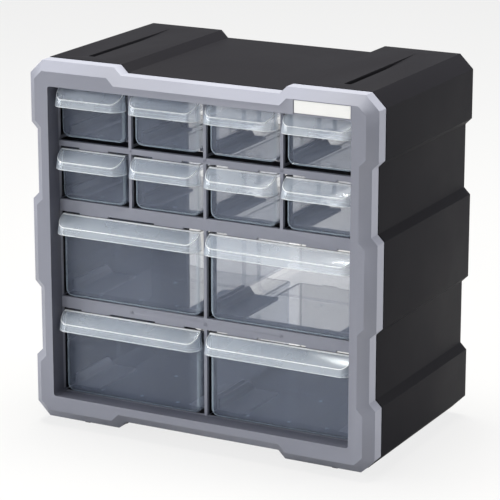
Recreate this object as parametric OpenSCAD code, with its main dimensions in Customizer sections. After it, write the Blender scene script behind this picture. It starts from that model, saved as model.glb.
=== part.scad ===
// Parts bin cabinet: a moulded housing, a bevelled front frame with its grid of
// cells and guide rails, and clear drawers in four rows.
// Lengths are in millimetres. X is across the front, Y runs to the back, Z is up.

/* [Drawers] */
// Width of one small cell, between two posts
small_cell_w = 56.4; // [48:0.1:66]
// Height of a small drawer, from its floor to its rim
small_drawer_h = 36.6; // [30:0.1:48]
// Height of a large drawer, from its floor to its rim
large_drawer_h = 60.8; // [50:0.1:76]
// Length of a drawer's bin, front to back
drawer_depth = 137; // [115:1:180]
// How far a bin's front stands out of the grid
bin_proud = 0.5; // [0.2:0.1:2]
// Wall thickness of a drawer
drawer_wall = 1.5; // [1.2:0.1:2.2]
// Radius along the two lower side edges of a bin
bin_edge_r = 6; // [3:0.5:9]
// Radius of a bin's four upright corners
bin_corner_r = 2.8; // [1.8:0.1:4]
// Gap between a bin's side and the post or wall beside it
bin_side_gap = 2.7; // [2.4:0.05:4]
// How far a bin's rim stands out past its sides
rim_out = 0.9; // [0.5:0.1:1.4]
// Depth of the rim's edge
rim_h = 1.8; // [1.2:0.1:3]
// How far the ribs of a divider's slot stand out from the walls and floor
rib_stand = 1; // [0.6:0.1:1.6]
// Thickness of those ribs
rib_t = 1.2; // [0.8:0.1:1.8]
// Distance of the ribs' upper ends below the rim
rib_drop = 6; // [3:0.5:12]
// Width of the slot between two divider ribs
divider_slot = 2; // [1.4:0.1:3]

/* [Handles] */
// Gap between a handle's end and the post or wall beside it
handle_side_gap = 1.15; // [0.9:0.05:2]
// Height of a handle, from the rim down to the skirt's lower edge
handle_h = 13; // [10:0.1:18]
// Drop of the handle's sloping top, from the rim to its crease
handle_slope_h = 7.4; // [5:0.1:9]
// Set-back of the skirt's lower edge behind the cabinet's front face
handle_set_back = 1.8; // [0.8:0.1:4]
// How much a handle's walls lean out, from the rim down to the skirt's lower edge
handle_flare = 1.4; // [0:0.1:2]
// Radius of the handle's two front corners at that edge, seen from above
handle_corner_r = 7.8; // [5:0.1:9]
// Wall thickness of a handle
handle_wall = 1.3; // [1:0.1:1.8]

/* [Stops] */
// Width of a stop tab on a drawer's back wall
stop_tab_w = 12; // [8:0.5:18]
// Height of a stop tab above the rim
stop_tab_h = 1; // [0.7:0.05:1.1]
// Width of a lip under a bar, which catches a stop tab
lip_w = 23; // [16:0.5:28]
// Depth of a lip under its bar
lip_h = 1.1; // [0.9:0.05:1.2]
// Distance of a large drawer's two stops from its middle
large_stop_x = 30; // [22:1:36]

/* [Front frame] */
// Thickness of an upright post of the grid
post_t = 2.2; // [1.6:0.1:5]
// Height of the bar between rows one and two
upper_bar_h = 3.8; // [3:0.1:6]
// Height of the bar between rows two and three
middle_bar_h = 8.5; // [6:0.1:12]
// Height of the bar between rows three and four
lower_bar_h = 8.2; // [6:0.1:12]
// Depth of the posts and bars, front to back
grid_t = 3; // [2:0.1:5]
// Set-back of the grid behind the frame's front face
grid_set_back = 13.5; // [10:0.1:18]
// Width of the frame's face on each side of the opening
side_margin = 17.4; // [14:0.05:24]
// Height of the frame's face under the opening
bottom_margin = 18; // [14:0.1:24]
// Height of the frame's face over the opening
top_margin = 17.2; // [15.5:0.1:24]
// Radius of the opening's corners
opening_r = 1.8; // [1:0.1:4]
// Depth of the frame, from its face to its back edge
frame_d = 16; // [12:0.5:22]
// Width of the bevel round the frame's face
bevel_w = 6.6; // [4:0.1:9]
// Depth of that bevel
bevel_d = 6; // [3:0.1:8]
// Wall thickness of the frame
frame_wall = 2.5; // [2:0.1:3.4]
// Gap all round between the frame's outline and the housing's
frame_step = 0.3; // [0.1:0.05:0.8]
// Gap between the frame's back edge and the housing's front edge
shadow_gap = 0.6; // [0.3:0.1:1.2]
// Length of the spigot that enters the housing
spigot_l = 6; // [4:0.5:10]
// Thickness of the spigot
spigot_t = 1.8; // [1.4:0.1:2.6]
// How far the spigot's root reaches into the frame
spigot_root = 4; // [2:0.5:6]
// Clearance between the spigot and the housing
spigot_clear = 0.2; // [0.1:0.05:0.3]

/* [Guides] */
// How far back the guides reach behind the grid
guide_l = 64; // [45:1:90]
// How far behind the grid a guide's ledges and fences start
guide_start = 12; // [4:1:24]
// Thickness of a guide's ledge
ledge_t = 2; // [1.6:0.1:3]
// How far a ledge reaches under a small drawer
small_ledge_w = 8; // [7:0.5:12]
// How far a ledge reaches under a large drawer
large_ledge_w = 18; // [10:0.5:24]
// Height of a fence beside a small drawer, above its ledge
small_fence_h = 4.8; // [3:0.1:9]
// Height of a fence beside a large drawer, above its ledge
large_fence_h = 8; // [5:0.1:14]
// Thickness of a fence
fence_t = 1.5; // [1.2:0.1:2.2]
// Running gap between a fence and a bin
fence_gap = 0.7; // [0.4:0.05:1]
// Height of a ledge above the bar that carries it
ledge_rise = 0.2; // [0.1:0.05:0.6]
// Extra height of the ledges under the top row
top_row_lift = 2.3; // [0:0.1:3]
// Running gap between a drawer and its ledges
run_gap = 0.2; // [0.1:0.05:0.3]
// Gap between a drawer's rim and the bar above it
head_gap = 1.4; // [1.3:0.05:2]

/* [Housing] */
// Wall thickness of the housing
housing_wall = 2.5; // [2:0.1:3.2]
// Gap between the drawers' backs and the housing's back wall
rear_gap = 6.5; // [5:0.5:12]
// Depth of the recessed bands in the sides
side_band = 4.7; // [3:0.1:6]
// Depth of the channel in the top and in the bottom
channel_h = 5.3; // [4:0.1:6]
// Width of that channel where it is widest
channel_w = 131.6; // [100:0.2:150]
// Height of the full-width stretch at the foot and at the head of each side
end_pad_h = 45; // [36:0.5:52]
// Height of the full-width stretch half way up each side
middle_pad_h = 60; // [44:0.5:72]
// Size of the cut-off outer corners
corner_cut = 10; // [6:0.1:14]
// Width of the back's frame on each side of its window
window_side = 39.5; // [32:0.5:50]
// Height of the back's frame under and over its window
window_end = 27; // [24:0.5:40]
// Corner radius of the window
window_r = 8; // [3:0.5:14]
// Depth and thickness of the stiffening rim inside the window
window_rim = 2; // [1.4:0.1:3]

/* [Stacking] */
// Distance of a stacking groove from the cabinet's middle
groove_x = 98.5; // [90:0.5:106]
// Width of a stacking groove
groove_w = 5; // [4:0.1:7]
// Depth of a stacking groove at its front end
groove_d = 5; // [4.2:0.1:6]
// Distance of a groove's front end behind the frame's face
groove_y = 30; // [26:1:40]
// Length of a groove, over which it rises to nothing
groove_l = 115; // [80:1:118]
// Width of the top beside a groove's bed, in the strip that holds the groove
strip_edge = 3; // [1:0.5:6]
// Height of the front tabs and rear ribs that the cabinet stands on
foot_h = 4.5; // [3:0.1:4.6]
// Width of a front tab at its tip
tab_w = 4; // [3:0.1:4.6]
// How much wider each side of a front tab is at its root
tab_taper = 1.6; // [0:0.1:3]
// Length of a front tab
tab_l = 9; // [6:0.5:14]
// Width of a rear rib
rear_rib_w = 6; // [4:0.5:10]
// Length of a rear rib
rear_rib_l = 12; // [8:0.5:20]
// Inset of the rear ribs from the sides of the channel
rear_rib_in = 6; // [4:0.5:14]

/* [Wall hanging] */
// Distance between the two keyholes
keyhole_pitch = 160; // [144:1:180]
// Distance of the keyholes' round ends above the window
keyhole_up = 3.5; // [2.5:0.1:5]
// Radius of a keyhole's round end
keyhole_r = 4.5; // [3.5:0.1:5]
// Width of a keyhole's slot
keyhole_slot = 4.6; // [3.6:0.1:5]
// Height of a keyhole's slot above the centre of its round end
keyhole_rise = 9; // [7:0.5:10]

/* [Label] */
// Width of the blank label
label_w = 41; // [30:0.5:46]
// Height of the blank label
label_h = 8.4; // [6:0.1:9]
// Distance of the label's outer end from the line of the opening's side
label_in = 0.8; // [0:0.1:6]
// Thickness of the label
label_t = 0.4; // [0.3:0.05:0.6]
// Depth of the pocket that holds the label
pocket_d = 0.6; // [0.5:0.05:0.9]
// Border between the label and its pocket's edge
pocket_border = 0.6; // [0.3:0.1:1]

/* [Hidden] */
$fn = 48;
fuse = 0.6;                    // overlap that joins two forms of one piece
over = 1;                      // how far a cut runs past the face it opens
thin = 0.02;                   // thickness of the slips that a handle is hulled from

columns = 4;                   // cells in each of the two upper rows
halves = 2;                    // cells in each of the two lower rows

opening_w = columns * small_cell_w + (columns - 1) * post_t;
large_cell_w = (opening_w - post_t) / halves;
cabinet_w = opening_w + 2 * side_margin;

floor_gap = ledge_rise + run_gap;
large_cell_h = floor_gap + large_drawer_h + head_gap;
small_cell_h = floor_gap + small_drawer_h + head_gap;

row4_z = bottom_margin;
lower_bar_z = row4_z + large_cell_h;
row3_z = lower_bar_z + lower_bar_h;
middle_bar_z = row3_z + large_cell_h;
row2_z = middle_bar_z + middle_bar_h;
upper_bar_z = row2_z + small_cell_h;
row1_z = upper_bar_z + upper_bar_h;
opening_top = row1_z + top_row_lift + small_cell_h;
opening_h = opening_top - bottom_margin;
cabinet_h = opening_top + top_margin;

grid_back = grid_set_back + grid_t;
bin_front = grid_set_back - bin_proud;
bin_back = bin_front + drawer_depth;
cabinet_d = bin_back + rear_gap + housing_wall;
housing_front = frame_d + shadow_gap;
back_inner = cabinet_d - housing_wall;

middle_pad_z0 = (cabinet_h - middle_pad_h) / 2;
middle_pad_z1 = (cabinet_h + middle_pad_h) / 2;
label_x = opening_w / 2 - label_w / 2 - label_in;
face_top = cabinet_h - frame_step - bevel_w;
label_z = face_top - pocket_border - label_h / 2;
window_w = cabinet_w - 2 * window_side;
window_h = cabinet_h - 2 * window_end;
keyhole_z = cabinet_h - window_end + keyhole_r + keyhole_up;
strip_w = groove_w + 2 * housing_wall + 2 * strip_edge;
strip_low = cabinet_h - housing_wall - channel_h - groove_d;

// ---- the stepped outline that housing and frame share ----

// Right half of the outline, from the bottom channel up and round to the top one
function right_half() =
    let (x = cabinet_w / 2, h = cabinet_h, c = corner_cut, b = side_band, p = channel_h,
         k = channel_w / 2)
    [[k - p, p], [k, 0], [x - c, 0], [x, c],
     [x, end_pad_h], [x - b, end_pad_h + b], [x - b, middle_pad_z0 - b], [x, middle_pad_z0],
     [x, middle_pad_z1], [x - b, middle_pad_z1 + b], [x - b, h - end_pad_h - b], [x, h - end_pad_h],
     [x, h - c], [x - c, h], [k, h], [k - p, h - p]];

function flipped_x(points) = [for (i = [len(points) - 1:-1:0]) [-points[i][0], points[i][1]]];

function flipped_z(points) =
    [for (i = [len(points) - 1:-1:0]) [points[i][0], cabinet_h - points[i][1]]];

function full_outline() = concat(right_half(), flipped_x(right_half()));

function unit(v) = v / norm(v);

// Outward normal of the edge from a to b, for points that run anticlockwise
function edge_normal(a, b) = let (d = unit(b - a)) [d[1], -d[0]];

// The outline moved inwards by d all round, with mitred corners
function outline(d) =
    let (p = full_outline(), n = len(p))
    [for (i = [0:n - 1])
        let (n1 = edge_normal(p[(i + n - 1) % n], p[i]), n2 = edge_normal(p[i], p[(i + 1) % n]))
        p[i] - (n1 + n2) * d / (1 + n1 * n2)];

// Upright prism on a flat outline in X and Z, from y0 to y1
module along_y(y0, y1) {
    translate([0, y1, 0])
        rotate([90, 0, 0])
            linear_extrude(y1 - y0)
                children();
}

// The same outline without its bands and channels, moved inwards by d
function plain_outline(d) =
    let (x = cabinet_w / 2 - d, h = cabinet_h - d, k = corner_cut + d * (sqrt(2) - 2))
    [[x - k, d], [x, d + k], [x, h - k], [x - k, h],
     [k - x, h], [-x, h - k], [-x, d + k], [k - x, d]];

// What a side band between the heights z0 and z1 takes away, on the right
function band_shape(d, z0, z1) =
    let (x = cabinet_w / 2, low = x + z0 - d * sqrt(2), high = z1 - x + d * sqrt(2),
         floor_x = x - side_band - d)
    [[floor_x, low - floor_x], [x + over, low - x - over],
     [x + over, high + x + over], [floor_x, high + floor_x]];

// What the channel in the top takes away
function channel_shape(d) =
    let (z = cabinet_h, k = channel_w / 2 + d * sqrt(2), floor_z = z - channel_h - d)
    [[-k + z - floor_z, floor_z], [k - z + floor_z, floor_z], [k + over, z + over],
     [-k - over, z + over]];

// Convex solid through rings of points; each ring is [points, y]
module through_rings(rings) {
    n = len(rings[0][0]);
    last = len(rings) - 1;
    points = [for (ring = rings) for (q = ring[0]) [q[0], ring[1], q[1]]];
    sides = [for (k = [0:last - 1]) for (i = [0:n - 1])
        [k * n + i, k * n + (i + 1) % n, (k + 1) * n + (i + 1) % n, (k + 1) * n + i]];
    front = [[for (i = [n - 1:-1:0]) i]];
    back = [[for (i = [0:n - 1]) last * n + i]];
    polyhedron(points, concat(front, sides, back), convexity = 4);
}

// Solid on the stepped outline, moved inwards by d, with a bevelled front edge
module bevelled_body(d, y0, y1) {
    slope = bevel_w / bevel_d;
    front_y = y0 - over;
    inner_y = y0 + bevel_d + over;
    front_d = d + bevel_w + over * slope;
    inner_d = d - over * slope;
    difference() {
        through_rings([[plain_outline(d + bevel_w), y0], [plain_outline(d), y0 + bevel_d],
                       [plain_outline(d), y1]]);
        for (z = [[end_pad_h, middle_pad_z0], [middle_pad_z1, cabinet_h - end_pad_h]]) {
            through_rings([[band_shape(front_d, z[0], z[1]), front_y],
                           [band_shape(inner_d, z[0], z[1]), inner_y]]);
            through_rings([[flipped_x(band_shape(front_d, z[0], z[1])), front_y],
                           [flipped_x(band_shape(inner_d, z[0], z[1])), inner_y]]);
            along_y(y0 + bevel_d, y1 + over)
                polygon(band_shape(d, z[0], z[1]));
            along_y(y0 + bevel_d, y1 + over)
                polygon(flipped_x(band_shape(d, z[0], z[1])));
        }
        through_rings([[channel_shape(front_d), front_y], [channel_shape(inner_d), inner_y]]);
        through_rings([[flipped_z(channel_shape(front_d)), front_y],
                       [flipped_z(channel_shape(inner_d)), inner_y]]);
        along_y(y0 + bevel_d, y1 + over)
            polygon(channel_shape(d));
        along_y(y0 + bevel_d, y1 + over)
            polygon(flipped_z(channel_shape(d)));
    }
}

// Rectangle with round corners, by its low corner and its size
module round_rect(x, z, w, h, r) {
    translate([x + r, z])
        square([w - 2 * r, h]);
    translate([x, z + r])
        square([w, h - 2 * r]);
    if (r > 0)
        for (cx = [x + r, x + w - r])
            for (cz = [z + r, z + h - r])
                translate([cx, cz])
                    circle(r);
}

// Everything is drawn with y = 0 at the frame's face and z = 0 under the body,
// then moved so that the cabinet stands centred on the origin
module at_home() {
    translate([0, -cabinet_d / 2, foot_h])
        children();
}

// ---- housing ----

module groove_cut(side) {
    translate([side * groove_x - groove_w / 2, 0, cabinet_h])
        rotate([90, 0, 90])
            linear_extrude(groove_w)
                polygon([[groove_y, over], [groove_y, -groove_d], [groove_y + groove_l, 0],
                         [groove_y + groove_l, over]]);
}

// The wall under a groove, thick enough to hold it
module groove_bed(side) {
    w = groove_w + 2 * housing_wall;
    translate([side * groove_x - w / 2, 0, cabinet_h - housing_wall])
        rotate([90, 0, 90])
            linear_extrude(w)
                polygon([[groove_y - housing_wall, fuse], [groove_y - housing_wall, -groove_d],
                         [groove_y, -groove_d], [groove_y + groove_l, 0], [groove_y + groove_l, fuse]]);
}

module front_tab(side) {
    translate([side * groove_x, 0, 0])
        along_y(housing_front, housing_front + tab_l)
            polygon([[-tab_w / 2 - tab_taper, fuse], [-tab_w / 2, -foot_h], [tab_w / 2, -foot_h],
                     [tab_w / 2 + tab_taper, fuse]]);
}

module rear_rib(side) {
    x = channel_w / 2 - channel_h - rear_rib_in - rear_rib_w / 2;
    translate([side * x - rear_rib_w / 2, cabinet_d - rear_rib_l, -foot_h])
        cube([rear_rib_w, rear_rib_l, foot_h + channel_h + fuse]);
}

module keyhole_cut(side) {
    translate([side * keyhole_pitch / 2, 0, keyhole_z])
        along_y(back_inner - over, cabinet_d + over) {
            circle(keyhole_r);
            translate([-keyhole_slot / 2, 0])
                square([keyhole_slot, keyhole_rise]);
            translate([0, keyhole_rise])
                circle(keyhole_slot / 2);
        }
}

module window(grow, y0, y1) {
    along_y(y0, y1)
        round_rect(-window_w / 2 - grow, window_end - grow, window_w + 2 * grow,
                   window_h + 2 * grow, window_r + grow);
}

module whole_housing() {
    difference() {
        union() {
            difference() {
                along_y(housing_front, cabinet_d)
                    polygon(outline(0));
                along_y(housing_front - over, back_inner)
                    polygon(outline(housing_wall));
            }
            window(window_rim, back_inner - window_rim, back_inner + fuse);
            for (side = [-1, 1]) {
                groove_bed(side);
                front_tab(side);
                rear_rib(side);
            }
        }
        window(0, back_inner - window_rim - over, cabinet_d + over);
        for (side = [-1, 1]) {
            groove_cut(side);
            keyhole_cut(side);
        }
    }
}

// The back of the housing, from the front of its window's rim
module back_region() {
    translate([-cabinet_w, back_inner - window_rim, -cabinet_h])
        cube([2 * cabinet_w, 2 * cabinet_d, 3 * cabinet_h]);
}

// One of the two strips of the top that hold a stacking groove
module strip_region(side) {
    translate([side * groove_x - strip_w / 2, -over, strip_low])
        cube([strip_w, back_inner - window_rim + over, cabinet_h]);
}

// The top between those strips, with its channel
module top_region() {
    x = groove_x - strip_w / 2;
    translate([-x, -over, strip_low])
        cube([2 * x, back_inner - window_rim + over, cabinet_h]);
}

// The housing is one moulding; its walls, its top, its back and the two strips
// with the grooves are nodes of their own, which meet face to face
module outer_housing() {
    color("#2b2b2f")
    at_home()
    difference() {
        whole_housing();
        back_region();
        top_region();
        strip_region(-1);
        strip_region(1);
    }
}

module housing_top() {
    color("#2b2b2f")
    at_home()
    intersection() {
        whole_housing();
        top_region();
    }
}

module housing_back() {
    color("#2b2b2f")
    at_home()
    intersection() {
        whole_housing();
        back_region();
    }
}

module groove_strip(side) {
    color("#2b2b2f")
    at_home()
    intersection() {
        whole_housing();
        strip_region(side);
    }
}

// ---- front frame ----

// The opening's rectangle, moved outwards by grow
module opening_shape(grow) {
    round_rect(-opening_w / 2 - grow, bottom_margin - grow, opening_w + 2 * grow,
               opening_h + 2 * grow, opening_r + grow);
}

// Bevelled shell: outer skin, face, the wall round the opening and the spigot
module bezel_shell() {
    inner = frame_step + frame_wall;
    spigot_out = housing_wall + spigot_clear;
    difference() {
        bevelled_body(frame_step, 0, frame_d);
        difference() {
            bevelled_body(inner, frame_wall, frame_d + over);
            along_y(0, frame_d + 2 * over)
                opening_shape(frame_wall);
        }
        along_y(-over, frame_d + over)
            opening_shape(0);
    }
    difference() {
        along_y(frame_d - spigot_root, frame_d + spigot_l)
            polygon(outline(spigot_out));
        along_y(frame_d - spigot_root - over, frame_d + spigot_l + over)
            polygon(outline(spigot_out + spigot_t));
    }
    difference() {
        along_y(grid_set_back, grid_back)
            opening_shape(frame_wall);
        along_y(grid_set_back - over, grid_back + over)
            opening_shape(0);
    }
}

module bar(z, h) {
    translate([-opening_w / 2 - fuse, grid_set_back, z])
        cube([opening_w + 2 * fuse, grid_t, h]);
}

// Posts between the cells of one row
module posts(z, h, count, cell_w) {
    for (i = [1:count - 1])
        translate([-opening_w / 2 + i * (cell_w + post_t) - post_t, grid_set_back, z - fuse])
            cube([post_t, grid_t, h + 2 * fuse]);
}

// Lips under the bar at height z, where the stop tabs of the row below catch
module lips(z, offsets, count, cell_w) {
    for (i = [0:count - 1])
        for (dx = offsets)
            translate([cell_x(i, cell_w) + dx - lip_w / 2, grid_set_back, z - lip_h])
                cube([lip_w, grid_t, lip_h + fuse]);
}

// Half a guide, from the middle of a post at x = 0 towards +X: a tongue behind the
// post that carries a ledge with a fence on it
module half_guide(ledge_w, fence_h) {
    fence_x = post_t / 2 + bin_side_gap - fence_gap - fence_t;
    cube([post_t / 2, guide_l, ledge_t]);
    translate([0, guide_start, 0])
        cube([post_t / 2 + bin_side_gap + ledge_w, guide_l - guide_start, ledge_t]);
    translate([fence_x, 0, 0])
        rotate([90, 0, 90])
            linear_extrude(fence_t)
                polygon([[guide_start, 0], [guide_l, 0], [guide_l, ledge_t],
                         [guide_l - fence_h, ledge_t + fence_h], [guide_start, ledge_t + fence_h]]);
}

// Guides of one row: a double one behind each post and a half one at each end
module guides(z, count, cell_w, ledge_w, fence_h) {
    color("#8a8c99")
    at_home()
    for (i = [0:count])
        translate([-opening_w / 2 - post_t / 2 + i * (cell_w + post_t), grid_back,
                   z + ledge_rise - ledge_t]) {
            if (i < count)
                half_guide(ledge_w, fence_h);
            if (i > 0)
                mirror([1, 0, 0])
                    half_guide(ledge_w, fence_h);
        }
}

module label_pocket() {
    translate([label_x - label_w / 2 - pocket_border, -over, label_z - label_h / 2 - pocket_border])
        cube([label_w + 2 * pocket_border, over + pocket_d, label_h + 2 * pocket_border]);
}

module front_frame() {
    color("#8a8c99")
    at_home()
    difference() {
        union() {
            bezel_shell();
            bar(lower_bar_z, lower_bar_h);
            bar(middle_bar_z, middle_bar_h);
            bar(upper_bar_z, upper_bar_h);
            posts(row4_z, large_cell_h, halves, large_cell_w);
            posts(row3_z, large_cell_h, halves, large_cell_w);
            posts(row2_z, small_cell_h, columns, small_cell_w);
            posts(row1_z, small_cell_h + top_row_lift, columns, small_cell_w);
            for (z = [lower_bar_z, middle_bar_z])
                lips(z, [-large_stop_x, large_stop_x], halves, large_cell_w);
            for (z = [upper_bar_z, opening_top])
                lips(z, [0], columns, small_cell_w);
        }
        label_pocket();
    }
}

module label() {
    color("#f4f4f2")
    at_home()
    translate([label_x - label_w / 2, pocket_d - label_t, label_z - label_h / 2])
        cube([label_w, label_t, label_h]);
}

// ---- drawers ----

function cell_x(i, cell_w) = -opening_w / 2 + cell_w / 2 + i * (cell_w + post_t);

// Front view of a bin: flat top, round lower corners
module bin_profile(w, h, r) {
    translate([-w / 2, r])
        square([w, h - r]);
    translate([-w / 2 + r, 0])
        square([w - 2 * r, h]);
    for (side = [-1, 1])
        translate([side * (w / 2 - r), r])
            circle(r);
}

// Rounded block that a bin or its hollow is made of, with its front face at y
module bin_block(w, y, d, z, h, edge_r, corner_r) {
    intersection() {
        along_y(y, y + d)
            translate([0, z])
                bin_profile(w, h, edge_r);
        translate([0, 0, z - over])
            linear_extrude(h + 2 * over)
                round_rect(-w / 2, y, w, d, corner_r);
    }
}

// Outline of a handle from above, drawn in by t at its front and its ends
module handle_outline(w, t, back) {
    front = handle_set_back + t;
    r = handle_corner_r - t;
    translate([-w / 2 + t, front + r])
        square([w - 2 * t, back - front - r]);
    translate([-w / 2 + t + r, front])
        square([w - 2 * t - 2 * r, back - front]);
    for (side = [-1, 1])
        translate([side * (w / 2 - t - r), front + r])
            circle(r, $fn = 32);
}

// Block of the handle, drawn in by t: round-cornered walls that lean out downwards,
// under a top that slopes from the rim to the crease above the skirt
module handle_block(w, h, t, back) {
    skirt_h = handle_h - handle_slope_h;
    crease_y = handle_set_back + handle_flare * skirt_h / handle_h;
    slope = handle_slope_h / (bin_front - crease_y);
    top_drop = t * sqrt(1 + slope * slope);
    low = -handle_h - (t > 0 ? over : 0);
    translate([0, 0, h])
        intersection() {
            hull() {
                translate([0, 0, low])
                    linear_extrude(thin)
                        handle_outline(w, t, back);
                linear_extrude(thin)
                    handle_outline(w, t + handle_flare, back);
            }
            translate([-w / 2, 0, 0])
                rotate([90, 0, 90])
                    linear_extrude(w)
                        polygon([[0, low - over], [0, -top_drop - slope * bin_front],
                                 [bin_front, -top_drop], [back + over, -top_drop],
                                 [back + over, low - over]]);
        }
}

module handle(cell_w, h) {
    w = cell_w - 2 * handle_side_gap;
    difference() {
        handle_block(w, h, 0, bin_front + fuse);
        handle_block(w, h, handle_wall, bin_front);
    }
}

module divider_ribs(w, h) {
    middle = bin_front + drawer_depth / 2;
    for (dy = [-divider_slot / 2 - rib_t, divider_slot / 2])
        difference() {
            bin_block(w - 2 * drawer_wall + fuse, middle + dy, rib_t, drawer_wall - fuse / 2,
                      h - drawer_wall + fuse / 2 - rib_drop, bin_edge_r - drawer_wall, 0);
            bin_block(w - 2 * drawer_wall - 2 * rib_stand, middle + dy - over, rib_t + 2 * over,
                      drawer_wall + rib_stand, h, bin_edge_r - drawer_wall, 0);
        }
}

module drawer(cell_w, h, stops) {
    w = cell_w - 2 * bin_side_gap;
    difference() {
        union() {
            bin_block(w, bin_front, drawer_depth, 0, h, bin_edge_r, bin_corner_r);
            translate([0, 0, h - rim_h])
                linear_extrude(rim_h)
                    round_rect(-w / 2 - rim_out, bin_front, w + 2 * rim_out, drawer_depth,
                               bin_corner_r);
            for (x = stops)
                translate([x - stop_tab_w / 2, bin_back - drawer_wall, h - fuse])
                    cube([stop_tab_w, drawer_wall, stop_tab_h + fuse]);
        }
        bin_block(w - 2 * drawer_wall, bin_front + drawer_wall, drawer_depth - 2 * drawer_wall,
                  drawer_wall, h, bin_edge_r - drawer_wall, bin_corner_r - drawer_wall);
    }
    divider_ribs(w, h);
    handle(cell_w, h);
}

// Small drawer in the cell number i of the row whose ledges start at z
module small_drawer(i, z) {
    color("#b9c6d6", 0.5)
    at_home()
    translate([cell_x(i, small_cell_w), 0, z + floor_gap])
        drawer(small_cell_w, small_drawer_h, [0]);
}

module large_drawer(i, z) {
    color("#b9c6d6", 0.5)
    at_home()
    translate([cell_x(i, large_cell_w), 0, z + floor_gap])
        drawer(large_cell_w, large_drawer_h, [-large_stop_x, large_stop_x]);
}

outer_housing();
housing_top();
housing_back();
groove_strip(-1);  // groove_strip_left
groove_strip(1);  // groove_strip_right
front_frame();
guides(row1_z + top_row_lift, columns, small_cell_w, small_ledge_w, small_fence_h);  // guides_1
guides(row2_z, columns, small_cell_w, small_ledge_w, small_fence_h);  // guides_2
guides(row3_z, halves, large_cell_w, large_ledge_w, large_fence_h);  // guides_3
guides(row4_z, halves, large_cell_w, large_ledge_w, large_fence_h);  // guides_4
label();
small_drawer(0, row1_z + top_row_lift);  // drawer_1a
small_drawer(1, row1_z + top_row_lift);  // drawer_1b
small_drawer(2, row1_z + top_row_lift);  // drawer_1c
small_drawer(3, row1_z + top_row_lift);  // drawer_1d
small_drawer(0, row2_z);  // drawer_2a
small_drawer(1, row2_z);  // drawer_2b
small_drawer(2, row2_z);  // drawer_2c
small_drawer(3, row2_z);  // drawer_2d
large_drawer(0, row3_z);  // drawer_3a
large_drawer(1, row3_z);  // drawer_3b
large_drawer(0, row4_z);  // drawer_4a
large_drawer(1, row4_z);  // drawer_4b
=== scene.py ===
"""Parts bin cabinet: a black moulded housing, a grey bevelled front and twelve clear drawers."""

from collections import namedtuple
import math

import bmesh
import bpy
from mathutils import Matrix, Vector


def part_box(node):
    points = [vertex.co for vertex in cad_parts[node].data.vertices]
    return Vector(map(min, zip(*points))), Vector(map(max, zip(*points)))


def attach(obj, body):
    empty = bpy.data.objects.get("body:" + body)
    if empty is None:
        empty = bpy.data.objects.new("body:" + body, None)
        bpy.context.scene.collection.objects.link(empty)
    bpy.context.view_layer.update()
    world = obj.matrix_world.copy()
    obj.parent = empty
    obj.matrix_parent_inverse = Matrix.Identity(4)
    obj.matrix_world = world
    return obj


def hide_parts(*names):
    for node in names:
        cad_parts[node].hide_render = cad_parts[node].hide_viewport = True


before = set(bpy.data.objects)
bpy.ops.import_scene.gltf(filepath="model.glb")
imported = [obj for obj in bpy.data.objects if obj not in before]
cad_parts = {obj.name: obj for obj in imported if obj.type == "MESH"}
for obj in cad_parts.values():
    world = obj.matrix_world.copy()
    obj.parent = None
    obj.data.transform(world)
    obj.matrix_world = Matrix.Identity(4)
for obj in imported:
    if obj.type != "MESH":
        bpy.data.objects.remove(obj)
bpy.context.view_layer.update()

# ---- sizes in millimetres: x from the middle, y back from the front face, z up from the underside ----

MM = 0.001
CABINET_W, CABINET_D, CABINET_H = 267, 159, 260
FOOT_H = 4.5

# the outline that housing and front share
CORNER_CUT, SIDE_BAND, CHANNEL_H, CHANNEL_W = 10, 4.7, 5.3, 131.6
BANDS = [(45, 100), (160, 215)]

# the front: frame, opening, grid of cells, spigot into the housing and label pocket
FRONT_D, FRONT_STEP, FRONT_WALL, FRONT_ROUND = 16, 0.3, 2.5, 0.35
BEVEL_W, BEVEL_D = 6.6, 6
OPENING_X, OPENING_LOW, OPENING_TOP, OPENING_R = 116.1, 18, 242.8, 1.8
GRID_Y, GRID_T, GRID_MARGIN = 13.5, 3, 1
POST_T = 2.2
SMALL_CELL, LARGE_CELL = 56.4, 115.0
ROW_FLOORS = {1: 204.4, 2: 159.9, 3: 88.8, 4: 18}
BARS = [(80.6, 88.8), (151.4, 159.9), (198.3, 202.1)]
LIP_W, LIP_H, LIP_BITE = 23, 1.1, 0.5
SPIGOT_Y, SPIGOT_END, SPIGOT_INSET, SPIGOT_WALL = FRONT_D - 4, FRONT_D + 6, 2.7, 1.8
POCKET_GAP, POCKET_D = 0.6, 0.6
# RECESS_Y and RECESS_END bound the opening's inside faces that get painted shade
RECESS_Y, RECESS_END = 2, GRID_Y - 1.5

# the rings that the moulding leaves on the bars: each step goes in from the rim and up or down
GATE_R, GATE_L, GATE_FORWARD = 1.15, 0.5, 0.05
GATE_STEPS = [(0.3, 0), (0.12, -0.22), (0.16, 0), (0.12, 0.3)]
GATE_PLACES = [(x, z) for x in (-58.6, 0, 58.6) for z in (200.3, 84.4)]

# the webs behind posts and bars, black as painted shade in the gaps round the drawers: their depth, and how
# far their edges are from a cell's or post's
POST_WEB_D, POST_WEB_SIDE, POST_WEB_LOW, POST_WEB_TOP = 12, 0.2, 0.3, 3
BAR_WEB_D, BAR_WEB_SIDE, BAR_WEB_LOW, BAR_WEB_TOP = 14, 0.3, 1.6, 0.3
WEB_BITE = 0.1

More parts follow.
